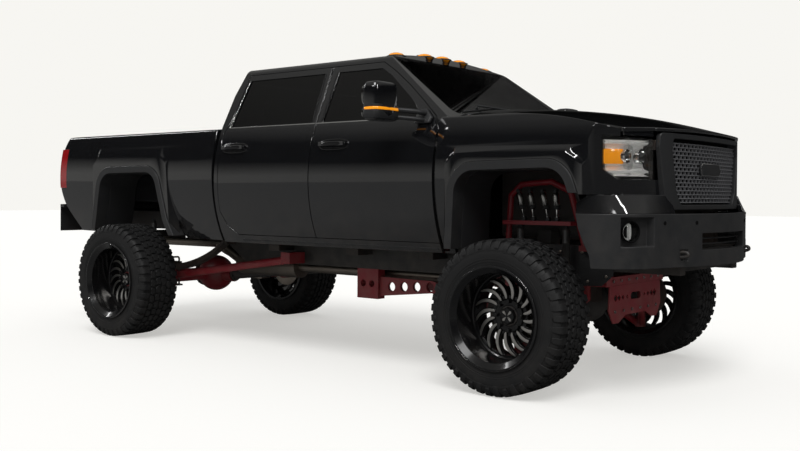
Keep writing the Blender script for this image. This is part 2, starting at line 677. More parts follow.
CENTRE_LUG = [(-0.026, 0.004), (-0.004, 0.002), (0.010, 0.012), (0.029, 0.014), (0.024, 0.040),
              (0.004, 0.052), (-0.012, 0.044), (-0.030, 0.046), (-0.034, 0.022)]
MIDDLE_LUG = [(-0.022, 0.060), (0.012, 0.056), (0.026, 0.068), (0.030, 0.092), (0.012, 0.102),
              (-0.008, 0.096), (-0.026, 0.100), (-0.032, 0.078)]
EDGE_LUG = [(-0.022, 0.110), (0.006, 0.106), (0.020, 0.114), (0.024, 0.158), (-0.020, 0.158)]


def mirrored(outline, shift=0.0):
    return [(-s + shift, -y) for s, y in outline]


def side_lug(reach, width):
    """The part of an edge block that runs down the sidewall."""
    shape = bmesh.new()
    stations = [(0.150, 0.4775, 0.020), (0.1630, 0.4745, 0.0205), (0.1745, 0.4665, 0.0205),
                (0.1820, 0.4520, 0.0200), (0.1870, 0.4360, 0.0185), (0.1895, 0.4360 - reach, 0.0150)]
    inner = [(0.150, 0.460), (0.158, 0.458), (0.166, 0.450), (0.174, 0.440), (0.180, 0.428),
             (0.184, 0.422 - reach)]
    rows = []
    for (y, r, half), (iy, ir) in zip(stations, inner):
        half *= width
        row = []
        for s, out in ((-half, 1), (half, 1), (half, 0), (-half, 0)):
            turn = (s + 0.001) / TREAD_BASE
            yy, rr = (y, r) if out else (iy, ir)
            row.append((rr * sin(turn), yy, rr * cos(turn)))
        rows.append(row)
    capped(shape, rows)
    bmesh.ops.bevel(shape, geom=list(shape.edges), offset=0.0015, segments=1, affect="EDGES")
    return outward(shape)


def wall_ring(y, radius, rise):
    profile = [(y - 0.003, radius - 0.006), (y + rise, radius - 0.004), (y + rise, radius + 0.004),
               (y - 0.003, radius + 0.006)]
    return spun(profile)


def make_tyre(name, side, x):
    """An all-terrain tyre: a moulded casing, five rows of tread blocks and side lugs."""
    spot = Vector((x, side * WHEEL_Y, AXLE_Z))
    body = "wheel_" + name
    casing = piece("casing_" + name, mesh_of(spun(TYRE_PROFILE)), rubber, body, 35)
    casing.data.transform(Matrix.Translation(spot))
    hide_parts("tyre_" + name)
    rows = [("centre_a", CENTRE_LUG, 0.0, TYRE_RADIUS),
            ("centre_b", mirrored(CENTRE_LUG, 0.018), 0.5, TYRE_RADIUS),
            ("middle_a", MIDDLE_LUG, 0.35, TYRE_RADIUS - 0.0006),
            ("middle_b", mirrored(MIDDLE_LUG, 0.010), 0.85, TYRE_RADIUS - 0.0006),
            ("edge_a", EDGE_LUG, 0.0, TYRE_RADIUS - 0.0018),
            ("edge_b", mirrored(EDGE_LUG), 0.5, TYRE_RADIUS - 0.0018)]
    for label, outline, phase, top in rows:
        repeated(f"tread_{label}_{name}", tread_lug(outline, TREAD_BASE - 0.004, top, lean=0.12), RING,
                 rubber, body, "tyre", move=spot, smooth=30, Count=LUG_COUNT,
                 Start_angle=phase * tau / LUG_COUNT)
    flip = Matrix.Rotation(pi, 3, "Z")
    for label, turn, phase in (("outer", None, 0.0), ("inner", flip, 0.5)):
        for size, reach, width, extra in (("long", 0.026, 1.0, 0.0), ("short", 0.006, 0.9, 0.5)):
            repeated(f"side_{label}_{size}_{name}", side_lug(reach, width), RING, rubber, body, "tyre",
                     turn=turn, move=spot, smooth=30, Count=LUG_COUNT // 2,
                     Start_angle=(phase + extra * 2) * tau / LUG_COUNT)
    rings = bmesh.new()
    for face in (-1, 1):
        for y, radius, rise in ((0.1866, 0.348, 0.0018), (0.1890, 0.362, 0.0008), (0.1855, 0.414, 0.0030)):
            ring = wall_ring(y, radius, rise)
            part = mesh_of(ring)
            if face < 0:
                part.transform(Matrix.Scale(-1, 4, (0, 1, 0)))
                part.flip_normals()
            rings.from_mesh(part)
    made = piece("wall_rings_" + name, mesh_of(rings), rubber, body, 35)
    made.data.transform(Matrix.Translation(spot))


SPOKES, SWEEP = 16, radians(22)
DISC_FACE = 0.0405
DISH = 0.056


def spoke_line(radius, turn):
    """The angle of a spoke's middle at a radius, measured round the wheel."""
    share = (radius - 0.128) / (0.250 - 0.128)
    share = max(-0.2, min(1.06, share))
    return turn + SWEEP * (0.30 * share + 0.70 * share * share) + pi / SPOKES


def blade(wide, height, lift, inner=0.098, outer=0.262, steps=14, edge=0.35):
    """A curved spoke face with a crown, standing on the wheel disc; the wheel lies in XZ, facing -Y."""
    rows = []
    for k in range(steps + 1):
        t = k / steps
        radius = inner + (outer - inner) * t
        angle = spoke_line(radius, 0)
        half = wide * (0.42 + 1.25 * t - 0.95 * t * t) * (1 if 0 < k < steps else 0.45)
        rise = height * (1.0 if 0 < k < steps else 0.6)
        section = [(-half, 0), (-half * (1 - edge * 0.25), rise * 0.8), (-half * 0.35, rise),
                   (half * 0.35, rise), (half * (1 - edge * 0.25), rise * 0.8), (half, 0)]
        row = []
        for s, h in section:
            turn = angle + s / radius
            row.append((radius * cos(turn), -(lift + h), radius * sin(turn)))
        rows.append(row)
    return lofted(rows)


def make_wheel_looks(name, side, x):
    """Black wheel with swirling spokes, milled faces, nuts, a plain faceted cap and a bright lip."""
    body, spot = "wheel_" + name, Vector((x, side * (WHEEL_Y - DISH), AXLE_Z))
    half_turn = Matrix.Rotation(pi, 3, "Z") if side > 0 else None
    for label, shape, finish_used in (
            ("spokes", blade(0.0205, 0.016, DISC_FACE - 0.006), rim_black),
            ("milled", blade(0.0150, 0.003, DISC_FACE + 0.0085, 0.106, 0.252), milled)):
        repeated(f"{label}_{name}", shape, RING, finish_used, body, "rim", turn=half_turn, move=spot,
                 Count=SPOKES, Start_angle=0.0)

    def fitted(label, shape, material):
        """A piece of the wheel, turned to its side and moved into place."""
        mesh = mesh_of(shape)
        if half_turn:
            mesh.transform(half_turn.to_4x4())
        mesh.transform(Matrix.Translation(spot))
        piece(f"{label}_{name}", mesh, material, body, 30)

    centre, outside = (0, 0, 0), (0, -1, 0)
    ridge = bmesh.new()
    ridge_profile = [(0.034, 0.256), (0.052, 0.262), (0.056, 0.270), (0.040, 0.2712), (0.030, 0.2712)]
    rows = [[(r * cos(tau * i / 96), -y, r * sin(tau * i / 96)) for y, r in ridge_profile] for i in range(96)]
    closed_band(ridge, rows, closed_rows=True)
    fitted("spoke_ring", outward(ridge), rim_black)
    hub_profile = [(0.030, 0.060), (0.030, 0.112), (0.046, 0.104), (0.050, 0.098), (0.050, 0.066),
                   (0.036, 0.062)]
    fitted("hub_ring", turned(centre, outside, hub_profile, 64), rim_black)
    cap_profile = [(0.028, 0.058), (0.066, 0.056), (0.074, 0.050), (0.0745, 0.046), (0.071, 0.044),
                   (0.071, 0.002)]
    fitted("cap", turned(centre, outside, cap_profile, 8), rim_black)
    star = bmesh.new()
    for k in range(4):
        angle = tau * k / 4 + pi / 4
        face = [(0.006, 0.0), (0.036, -0.24), (0.042, 0.0), (0.036, 0.24)]
        rows = [[(r * cos(angle + a), -y, r * sin(angle + a)) for r, a in face] for y in (0.070, 0.0755)]
        capped(star, rows)
    fitted("cap_face", outward(star), milled)
    lip = bmesh.new()
    for y, radius, thick in ((0.1955 + DISH, 0.3165, 0.0016), (0.176 + DISH, 0.300, 0.0010)):
        rows = [[((radius + thick * cos(q)) * cos(tau * i / 128), -(y + thick * sin(q)),
                  (radius + thick * cos(q)) * sin(tau * i / 128)) for q in (0, 1.57, 3.14, 4.71)]
                for i in range(128)]
        closed_band(lip, rows, closed_rows=True)
    fitted("lip_lines", outward(lip), chrome)
    nut_profile = [(0.040, 0.0115), (0.062, 0.0115), (0.066, 0.009), (0.066, 0.003)]
    repeated("nuts_" + name, turned((0.090, 0, 0), outside, nut_profile, 6), RING, rim_black, body, "rim",
             turn=half_turn, move=spot, smooth=20, Count=8, Start_angle=0.0)
    valve = turned((0.262, 0, 0.055), (-0.5, -1, 0), [(0.05, 0.004), (0.085, 0.004), (0.087, 0.002)], 10)
    fitted("valve", valve, chrome)
    softened("rim_" + name, 0.0015)


for name, side, x in WHEELS:
    make_tyre(name, side, x)
    make_wheel_looks(name, side, x)

# ------------------------------------------------------------------ places on the body
_trees = {}


def on_skin(node_name, start, direction):
    """The point and outward normal where a line first meets a CAD piece."""
    if node_name not in _trees:
        mesh = NODES[node_name].data
        _trees[node_name] = BVHTree.FromPolygons([v.co for v in mesh.vertices],
                                                 [p.vertices for p in mesh.polygons])
    spot, normal, _, _ = _trees[node_name].ray_cast(Vector(start), Vector(direction).normalized())
    if spot is None:
        raise ValueError(f"no {node_name} at {start}")
    return spot, normal


def patch(node_name, columns, rows, lift, thick):
    """A thin plate that follows the back of a CAD skin, over a grid of (across, up)."""
    shape = bmesh.new()
    sheets = []
    for depth in (lift, lift - thick):
        sheet = []
        for b in rows:
            line = []
            for a in columns:
                spot, normal = on_skin(node_name, (-4, a, b), (1, 0, 0))
                line.append(shape.verts.new(spot + normal * depth))
            sheet.append(line)
        sheets.append(sheet)
    front, rear = sheets
    for r in range(len(rows) - 1):
        for c in range(len(columns) - 1):
            for face in (front, rear):
                shape.faces.new((face[r][c], face[r][c + 1], face[r + 1][c + 1], face[r + 1][c]))
    edge = [(0, c) for c in range(len(columns))] + [(r, len(columns) - 1) for r in range(1, len(rows))]
    edge += [(len(rows) - 1, c) for c in range(len(columns) - 2, -1, -1)]
    edge += [(r, 0) for r in range(len(rows) - 2, 0, -1)]
    for (r, c), (r2, c2) in zip(edge, edge[1:] + edge[:1]):
        shape.faces.new((front[r][c], front[r2][c2], rear[r2][c2], rear[r][c]))
    return outward(shape)


def spread(low, high, count):
    return [low + (high - low) * i / (count - 1) for i in range(count)]


def add_piece(name, shape, material, body="root", smooth=35, edge=0.0):
    made = piece(name, mesh_of(shape, name), material, body, smooth)
    if edge:
        round_off = made.modifiers.new("edges", "BEVEL")
        round_off.width, round_off.segments, round_off.limit_method = edge, 2, "ANGLE"
        round_off.use_clamp_overlap = True
        applied(made)
        made.data.shade_smooth()
        made.data.set_sharp_from_angle(angle=radians(smooth))
    return made


# ------------------------------------------------------------------ grille
grille_low, grille_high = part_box("grille")
MESH_LOW, MESH_HIGH = grille_low.z + 0.033, grille_high.z - 0.033
OPENING_TOP, OPENING_BOTTOM = 0.526, 0.452
SLAT_STEP, TIE_STEP = 0.0240, 0.050
GRILLE_BOW, GRILLE_RECESS = 0.038 / 0.548 ** 2, 0.024


def mesh_x(y):
    """How far forward the grille mesh stands at a distance across."""
    return grille_high.x - GRILLE_RECESS - GRILLE_BOW * y * y


def mesh_half_width(z):
    """Half the clear width inside the grille border at a height."""
    share = (z - MESH_LOW) / (MESH_HIGH - MESH_LOW)
    corner = max(0.0, 0.16 - share) * 0.28
    return OPENING_BOTTOM + (OPENING_TOP - OPENING_BOTTOM) * min(1.0, share * 1.15) - corner


slats = bmesh.new()
slat_count = int((MESH_HIGH - MESH_LOW) / SLAT_STEP)
for index in range(slat_count):
    z = MESH_LOW + SLAT_STEP * (index + 0.5)
    half = mesh_half_width(z) + 0.008
    capped(slats, [[(mesh_x(y) + dx, y, z + dz) for dx, dz in
                    ((-0.014, -0.0036), (0.002, -0.0030), (0.005, 0.0), (0.002, 0.0030), (-0.014, 0.0036))]
                   for y in spread(-half, half, 25)])
add_piece("grille_slats", outward(slats), slat_grey)
ties = bmesh.new()
for index in range(slat_count - 1):
    z = MESH_LOW + SLAT_STEP * (index + 1)
    reach = int((mesh_half_width(z) + 0.004) / TIE_STEP)
    for k in range(-reach - 1, reach + 1):
        y = (k + (0.25 if index % 2 else 0.75)) * TIE_STEP
        if abs(y) < mesh_half_width(z):
            capped(ties, [[(mesh_x(y) + dx, y + dy, z + dz) for dx, dy in
                           ((-0.012, -0.0022), (0.0030, -0.0018), (0.0030, 0.0018), (-0.012, 0.0022))]
                          for dz in (-SLAT_STEP / 2 + 0.001, SLAT_STEP / 2 - 0.001)])
add_piece("grille_ties", outward(ties), slat_grey)
back = bmesh.new()
rows = []
for z in spread(MESH_LOW - 0.004, MESH_HIGH + 0.004, 16):
    half = mesh_half_width(z) + 0.012
    rows.append([(mesh_x(y) - 0.022, y, z) for y in spread(-half, half, 17)])
closed_band(back, rows, closed_loop=False)
panel = add_piece("grille_backing", back, black_hole)
walled(panel, 0.002)
BADGE_Z = 1.392
outline = [(0.150, -0.034), (0.158, -0.016), (0.158, 0.024), (0.144, 0.040), (-0.144, 0.040), (-0.158, 0.024),
           (-0.158, -0.016), (-0.150, -0.034)]
badge = lofted([[(grille_high.x - 0.018 + dx, y * grow, BADGE_Z + z * grow) for y, z in outline]
                for dx, grow in ((-0.008, 0.96), (0.006, 1.0), (0.012, 0.93))])
add_piece("grille_plain_plate", badge, trim, edge=0.002)
rim_line = bmesh.new()
path = [(grille_high.x - 0.0085, y * 0.955, BADGE_Z + z * 0.955) for y, z in outline]
tube(rim_line, path + [path[0]], 0.0030, 6)
add_piece("grille_plate_line", rim_line, chrome)

# ------------------------------------------------------------------ headlamps
LAMP_MIDDLE_Z = 1.45


def lamp_point(side, y, z, depth):
    """A point behind the lens: across, up, and how deep along the truck."""
    spot, _ = on_skin("headlamps", (4, side * y, LAMP_MIDDLE_Z), (-1, 0, 0))
    return Vector((spot.x - depth, side * y, z))


def lamp_shell(shape, side, ys, zs, depths):
    """A reflector surface: a grid whose depth changes across it, closed by its own thickness."""
    rows = []
    for j, z in enumerate(zs):
        rows.append([lamp_point(side, y, z, depths[j % len(depths)]) for y in ys])
    closed_band(shape, rows, closed_loop=False)


def bezel_ring(shape, side, y, z, radius, depth, wide):
    centre = lamp_point(side, y, z, depth)
    drum(shape, centre, (1, 0, 0), [(-0.030, radius - wide), (0.0, radius), (0.006, radius),
                                    (0.008, radius - wide), (-0.014, radius - wide * 1.6),
                                    (-0.016, 0.002)], 32)


for side_name, side in SIDES:
    lens = NODES["headlamps"].data.copy()
    cut = bmesh.new()
    cut.from_mesh(lens)
    bmesh.ops.remove_doubles(cut, verts=cut.verts, dist=2e-5)
    bmesh.ops.delete(cut, geom=[v for v in cut.verts if v.co.y * side < 0], context="VERTS")
    cut.to_mesh(lens)
    cut.free()
    cleared(lens)
    cover = piece("lamp_lens_" + side_name, lens, lens_glass, "root", 30)
    wall = cover.modifiers.new("wall", "SOLIDIFY")
    wall.thickness, wall.offset = 0.003, -1
    applied(cover)
    if side < 0:
        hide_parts("headlamps")
    ys = spread(0.680, 0.950, 15)
    bowl = bmesh.new()
    lamp_shell(bowl, side, ys, [1.340, 1.352, 1.372, 1.384, 1.400], [0.020, 0.052, 0.022, 0.050, 0.058])
    lamp_shell(bowl, side, ys, [1.400, 1.440, 1.500, 1.522], [0.058, 0.060, 0.060, 0.054])
    lamp_shell(bowl, side, ys, [1.522, 1.530, 1.546, 1.553], [0.054, 0.026, 0.046, 0.020])
    made = add_piece("lamp_reflector_" + side_name, bowl, reflector, smooth=20)
    walled(made, 0.002)
    rows = []
    for z in (1.412, 1.424, 1.488, 1.500):
        inset = 0.0 if z in (1.424, 1.488) else 0.006
        rows.append([lamp_point(side, y, z, 0.018 + inset) for y in spread(0.852, 0.955, 8)] +
                    [lamp_point(side, y, z, 0.050) for y in (0.955, 0.852)])
    add_piece("lamp_amber_" + side_name, lofted(rows), amber, smooth=35)
    parts = bmesh.new()
    bezel_ring(parts, side, 0.832, 1.458, 0.043, 0.020, 0.004)
    bezel_ring(parts, side, 0.742, 1.458, 0.046, 0.020, 0.004)
    add_piece("lamp_bezels_" + side_name, outward(parts), chrome)
    eyes = bmesh.new()
    for y in (0.832, 0.742):
        centre = lamp_point(side, y, 1.458, 0.026)
        drum(eyes, centre, (1, 0, 0), [(-0.020, 0.034), (-0.004, 0.034), (0.006, 0.030), (0.013, 0.020),
                                       (0.017, 0.008), (0.0175, 0.001)], 28)
    add_piece("lamp_projectors_" + side_name, outward(eyes), lens_glass, smooth=60)
    strip = bmesh.new()
    for z, reach in ((1.366, 0.014), (1.538, 0.014)):
        rows = [[lamp_point(side, y, z + dz, reach + dx) for dz, dx in
                 ((-0.005, 0.010), (-0.005, 0), (0.005, 0), (0.005, 0.010))] for y in spread(0.69, 0.93, 12)]
        capped(strip, rows)
    add_piece("lamp_light_bars_" + side_name, outward(strip), reflector)
    shut = bmesh.new()
    lamp_shell(shut, side, spread(0.672, 0.962, 12), [1.328, 1.566], [0.074, 0.074])
    made = add_piece("lamp_bucket_" + side_name, shut, interior)
    walled(made, 0.003)

# ------------------------------------------------------------------ hood lip
lip = bmesh.new()
for side in (-1, 1):
    rows = []
    for y in spread(0.664, 0.868, 14):
        edge_x = on_skin("headlamps", (4, side * max(y, 0.672), 1.50), (-1, 0, 0))[0].x
        under = on_skin("hood", (edge_x - 0.010, side * y, 1.0), (0, 0, 1))[0].z
        base = 1.578 - (edge_x - 2.65) * 0.05
        rows.append([(edge_x - 0.002, side * y, under + 0.003), (edge_x + 0.003, side * y, base + 0.010),
                     (edge_x - 0.003, side * y, base + 0.006), (edge_x - 0.014, side * y, base + 0.008),
                     (edge_x - 0.014, side * y, under + 0.003)])
    capped(lip, rows)
add_piece("hood_front_lip", outward(lip), paint, "hood")

# ------------------------------------------------------------------ bumper: lamps, slot bars, hooks, sensors
FOG_Y, FOG_Z, FOG_LEAN = 0.868, 1.016, 0.52
for side_name, side in SIDES:
    floor_spot, _ = on_skin("front_bumper", (4, side * FOG_Y, FOG_Z), (-1, 0, 0))
    aim = Vector((1, side * FOG_LEAN, 0)).normalized()
    centre = floor_spot + aim * 0.026
    ring = turned(centre, aim, [(-0.030, 0.050), (-0.006, 0.062), (0.004, 0.064), (0.007, 0.060),
                                (-0.006, 0.053), (-0.022, 0.046), (-0.023, 0.002)], 32)
    add_piece("fog_housing_" + side_name, ring, black_hole)
    across = Vector((-aim.y, aim.x, 0))
    rows = []
    for z in spread(-0.040, 0.040, 6):
        half = 0.011 * sqrt(max(0.1, 1 - (z / 0.046) ** 2))
        rows.append([centre + across * c * half + aim * depth + Vector((0, 0, z)) for c, depth in
                     ((-1, -0.021), (-0.7, -0.010), (0.7, -0.010), (1, -0.021))])
    add_piece("fog_reflector_" + side_name, lofted(rows), reflector)
    lens = turned(centre, aim, [(-0.007, 0.0525), (-0.004, 0.052), (0.001, 0.040), (0.004, 0.022),
                                (0.005, 0.001)], 32)
    add_piece("fog_lens_" + side_name, lens, lens_glass, smooth=60)
    hook = bmesh.new()
    path = bent([(2.84, side * 0.515, 0.860), (2.965, side * 0.515, 0.860), (2.990, side * 0.515, 0.872),
                 (2.980, side * 0.515, 0.890), (2.90, side * 0.515, 0.890)], 0.016)
    tube(hook, path, 0.011, 12)
    add_piece("tow_hook_" + side_name, hook, chassis)
    for y in (0.40, 0.66):
        spot, normal = on_skin("front_bumper", (4, side * y, 1.066), (-1, 0, 0))
        sensor = turned(spot - normal * 0.003, normal,
                        [(0, 0.012), (0.0045, 0.012), (0.006, 0.010), (0.006, 0.001)], 20)
        add_piece(f"park_sensor_{int(y * 100)}_{side_name}", sensor, black_hole)
bars = bmesh.new()
for z in (0.934, 0.968):
    capped(bars, [[(on_x - 0.050 + dx, y, z + dz) for dx, dz in
                   ((-0.012, -0.005), (0.004, -0.004), (0.007, 0), (0.004, 0.004), (-0.012, 0.005))]
                  for y in spread(-0.342, 0.342, 15)
                  for on_x in (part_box("front_bumper")[1].x - 0.088 * (y / 0.545) ** 2,)])
add_piece("bumper_slot_bars", outward(bars), trim)

# ------------------------------------------------------------------ sides: window trim, handles, mirrors
def rib(node_name, points, wide, rise, way, body, material, name):
    """A raised strip that follows a line of (x, z) points on a body side."""
    rows = []
    for i, (x, z) in enumerate(points):
        spot, normal = on_skin(node_name, (x, -2.5 if way > 0 else 2.5, z), (0, way, 0))
        ahead_point, behind = points[min(i + 1, len(points) - 1)], points[max(i - 1, 0)]
        run = Vector((ahead_point[0] - behind[0], 0, ahead_point[1] - behind[1])).normalized()
        cross = run.cross(normal).normalized()
        rows.append([spot + cross * c * wide / 2 + normal * n for c, n in
                     ((-1, -0.002), (-0.8, rise * 0.8), (0, rise), (0.8, rise * 0.8), (1, -0.002))])
    return add_piece(name, lofted(rows), material, body)


def line(start, end, count):
    """Evenly spaced (x, z) points from one end to the other."""
    return [(start[0] + (end[0] - start[0]) * i / (count - 1),
             start[1] + (end[1] - start[1]) * i / (count - 1)) for i in range(count)]


def rounded_loop(centre_x, centre_y, half_x, half_y, power, z, count=40):
    """A loop between an ellipse and a rectangle."""
    loop = []
    for i in range(count):
        a = tau * i / count
        c, s = cos(a), sin(a)
        loop.append(Vector((centre_x + half_x * abs(c) ** (2 / power) * (1 if c > 0 else -1),
                            centre_y + half_y * abs(s) ** (2 / power) * (1 if s > 0 else -1), z)))
    return loop


MIRROR_X, MIRROR_Y = 1.188, 1.232


def mirror_loop(forward, middle, half_x, half_y, z):
    """A level loop round the mirror head, a little ahead of its middle."""
    return [Vector((p.x + forward, p.y, z)) for p in rounded_loop(MIRROR_X, middle, half_x, half_y, 4.5, z)]


def make_mirror_looks(side_name, side):
    """A tall towing mirror: shell, amber lamp, two glasses and a pair of arms."""
    body = "door_front_" + side_name
    middle = side * MIRROR_Y
    levels = [(1.705, 0.60, 0.80), (1.709, 0.80, 0.92), (1.722, 0.94, 0.98), (1.760, 1.0, 1.0),
              (1.840, 1.0, 1.0), (1.910, 0.98, 0.99), (1.943, 0.90, 0.95), (1.955, 0.76, 0.84),
              (1.9605, 0.50, 0.62)]
    rows = []
    for z, gx, gy in levels:
        loop = rounded_loop(MIRROR_X, middle, 0.064 * gx, 0.124 * gy, 4.5, z)
        row = []
        for p in loop:
            bulge = 0.012 * (1 - ((p.y - middle) / 0.124) ** 2) if p.x > MIRROR_X else 0.0
            row.append(Vector((min(p.x + bulge, 1.264), p.y, p.z)))
        rows.append(row)
    made = add_piece("mirror_shell_" + side_name, lofted(rows), paint, body, 50)
    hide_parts("mirror_" + side_name)
    rows = []
    for z, grow in ((1.792, 0.99), (1.794, 1.012), (1.800, 1.014), (1.806, 1.012), (1.808, 0.99)):
        rows.append(mirror_loop(0.006, middle, 0.066 * grow, 0.1235 * grow, z))
    add_piece("mirror_seam_" + side_name, lofted(rows), trim, body)
    rows = []
    for z, grow in ((1.716, 0.94), (1.722, 1.0), (1.760, 1.012), (1.770, 1.0)):
        rows.append(mirror_loop(0.005, middle, 0.068 * grow, 0.1242 * grow, z))
    add_piece("mirror_lower_cover_" + side_name, lofted(rows), trim, body, smooth=50)
    rows = []
    for z in (1.773, 1.776, 1.788, 1.791):
        grow = 1.0 if z in (1.773, 1.791) else 1.02
        rows.append(mirror_loop(0.008, middle, 0.067 * grow, 0.1238 * grow, z))
    add_piece("mirror_amber_" + side_name, lofted(rows), amber, body, smooth=50)
    for label, z0, z1 in (("main", 1.806, 1.940), ("wide", 1.724, 1.788)):
        rows = []
        for x in (1.1215, 1.1175):
            loop = rounded_loop(0, 0, 0.104, (z1 - z0) / 2, 5, 0, 32)
            rows.append([Vector((x, middle + p.x, (z0 + z1) / 2 + p.y)) for p in loop])
        add_piece(f"mirror_glass_{label}_{side_name}", lofted(rows), chrome, body)
    arms = bmesh.new()
    for z, thick in ((1.772, 0.017), (1.724, 0.015)):
        base, _ = on_skin("door_front_" + side_name, (1.360, side * 2.5, min(z, 1.742)), (0, -side, 0))
        tube(arms, bent([(1.360, base.y - side * 0.004, z - 0.01), (1.345, side * 1.03, z),
                         (1.230, side * 1.130, z + 0.012), (1.200, side * 1.20, z + 0.014)], 0.04), thick, 14)
    add_piece("mirror_arms_" + side_name, outward(arms), trim, body)
    rows = []
    for lift, grow in ((-0.004, 1.0), (0.014, 1.0), (0.022, 0.86)):
        row = []
        for dx, z in ((-0.075, 1.700), (0.055, 1.700), (0.060, 1.742), (0.0, 1.800), (-0.050, 1.800),
                      (-0.075, 1.760)):
            spot = Vector((1.352 + dx * grow, 0, 1.74 + (z - 1.74) * grow))
            y = 0.975 - (spot.z - 1.70) * 0.42
            row.append((spot.x, side * (y + lift), spot.z))
        rows.append(row)
    add_piece("mirror_foot_" + side_name, lofted(rows), trim, body, edge=0.004)


HANDLE_Z, CUP_Z, SILL_STRIP_Z = 1.585, 1.580, 1.7405
for side_name, side in SIDES:
    way = -side
    front, rear = "door_front_" + side_name, "door_rear_" + side_name
    rib(front, line((0.345, SILL_STRIP_Z), (1.325, SILL_STRIP_Z), 16), 0.011, 0.0035, way, front, chrome,
        "sill_strip_" + front)
    rib(rear, line((-0.600, SILL_STRIP_Z), (0.328, SILL_STRIP_Z), 16), 0.011, 0.0035, way, rear, chrome,
        "sill_strip_" + rear)
    rib(rear, line((-0.597, SILL_STRIP_Z), (-0.540, 2.126), 12), 0.007, 0.003, way, rear, chrome,
        "edge_strip_" + rear)
    rib(rear, line((0.296, 1.760), (0.284, 2.118), 8), 0.020, 0.003, way, rear, rim_black,
        "pillar_cover_" + rear)
    rib(front, line((0.390, 1.760), (0.405, 2.118), 8), 0.020, 0.003, way, front, rim_black,
        "pillar_cover_" + front)
    for door, x in ((front, 0.565), (rear, -0.480)):
        cup = bmesh.new()
        rows = []
        for grow, lift in ((1.06, -0.001), (1.0, 0.0022), (0.90, 0.0022), (0.84, -0.004)):
            row = []
            for p in rounded_loop(0, 0, 0.135 * grow, 0.037 * (grow * 1.6 - 0.6), 3.0, 0):
                height = CUP_Z + p.y
                surface = side * (1.003 - 0.19 * (height - HANDLE_Z))
                row.append((x + p.x, surface + side * lift, height))
            rows.append(row)
        closed_band(cup, rows)
        made = add_piece("handle_surround_" + door, cup, rim_black, door, 50)
        walled(made, 0.002)
        rows = []
        for t in spread(-1, 1, 15):
            bow = 1 - abs(t) ** 3
            rows.append([(x + 0.126 * t, side * (1.0180 + 0.022 * bow + dy),
                          HANDLE_Z + dz * (0.75 + 0.25 * bow))
                         for dy, dz in ((-0.012, -0.014), (0.0, -0.017), (0.008, -0.010), (0.010, 0.0),
                                        (0.008, 0.011), (0.0, 0.018), (-0.012, 0.015))])
        add_piece("handle_grip_" + door, lofted(rows), rim_black, door, 60)
    make_mirror_looks(side_name, side)
    rib("cab_shell", line((-0.47, 0.866), (1.44, 0.866), 16), 0.018, 0.003, way, "root", trim,
        "rocker_strip_" + side_name)

# ------------------------------------------------------------------ roof: markers, antenna, brake lamp
markers = bmesh.new()
bases = bmesh.new()
for y in (-0.56, -0.22, 0.0, 0.22, 0.56):
    spot, normal = on_skin("cab_shell", (0.775, y, 4), (0, 0, -1))
    for shape, length, width, height in ((bases, 0.078, 0.058, 0.012), (markers, 0.064, 0.046, 0.026)):
        rows = []
        for t in (0.0, 0.35, 0.7, 0.92, 1.0):
            grow = sqrt(max(0.02, 1 - t ** 2.4))
            rows.append([(p.x - 0.010 * t, p.y, spot.z - 0.006 + (height + 0.006) * t)
                         for p in rounded_loop(spot.x, y, length * grow, width * grow, 2.6, 0, 24)])
        capped(shape, rows)
add_piece("roof_marker_bases", outward(bases), trim)
add_piece("roof_marker_lamps", outward(markers), amber, smooth=60)
fin_x, fin_y = 0.60, 0.0
base_z = on_skin("cab_shell", (fin_x, fin_y, 4), (0, 0, -1))[0].z - 0.004
rows = []
for t in spread(0, 1, 9):
    length, width = 0.085 * (1 - 0.72 * t ** 1.2), 0.030 * (1 - t) ** 0.55 + 0.0015
    rows.append([(p.x - 0.050 * t, p.y, base_z + 0.062 * t)
                 for p in rounded_loop(fin_x, fin_y, length, width, 2.0, 0, 24)])
add_piece("roof_antenna", lofted(rows), paint, smooth=60)
brake = patch("cab_shell", spread(-0.16, 0.16, 12), spread(2.146, 2.176, 4), 0.004, 0.006)
add_piece("high_brake_lamp", brake, red_lens)

# ------------------------------------------------------------------ cowl and wipers
cowl = bmesh.new()
rows = []
for x, z in ((1.535, 1.741), (1.560, 1.748), (1.590, 1.750), (1.600, 1.742)):
    rows.append([(x, y, z + 0.075 * (1 - (y / 0.86) ** 2)) for y in spread(-0.82, 0.82, 25)])
closed_band(cowl, rows, closed_loop=False)
made = add_piece("cowl_cover", cowl, trim)
walled(made, 0.004)
slot_shape = bmesh.new()
block(slot_shape, (0, 0, 0), (0.030, 0.004, 0.004))
repeated("cowl_slots", slot_shape, ROWS, black_hole, "root", "trim", Columns=60, Rows=1,
         Column_step=(0, 0.012, 0), Start=(1.577, -0.36, 1.817), smooth=0)


def screen_point(x, y):
    """A point on the windscreen."""
    spot, normal = on_skin("cab_glass", (x, y, 4), (0, 0, -1))
    return spot + normal * 0.010


for side_name, side, reach in (("right", -1, -0.10), ("left", 1, 0.62)):
    wiper = bmesh.new()
    pivot = Vector((1.560, reach + 0.02, 1.800))
    elbow = screen_point(1.380, reach - 0.30)
    tube(wiper, [pivot, pivot + Vector((-0.03, -0.05, 0.030)), elbow + Vector((0, 0.0, 0.014)), elbow],
         0.007, 8)
    drum(wiper, pivot - Vector((0, 0, 0.03)), (0.2, 0, 1), [(0, 0.018), (0.034, 0.016), (0.040, 0.008)], 16)
    ends = [screen_point(1.452 - 0.010 * k, reach + 0.02 - 0.60 + 0.06 * k) for k in range(10)]
    tube(wiper, ends, 0.005, 8)
    add_piece("wiper_" + side_name, outward(wiper), trim)

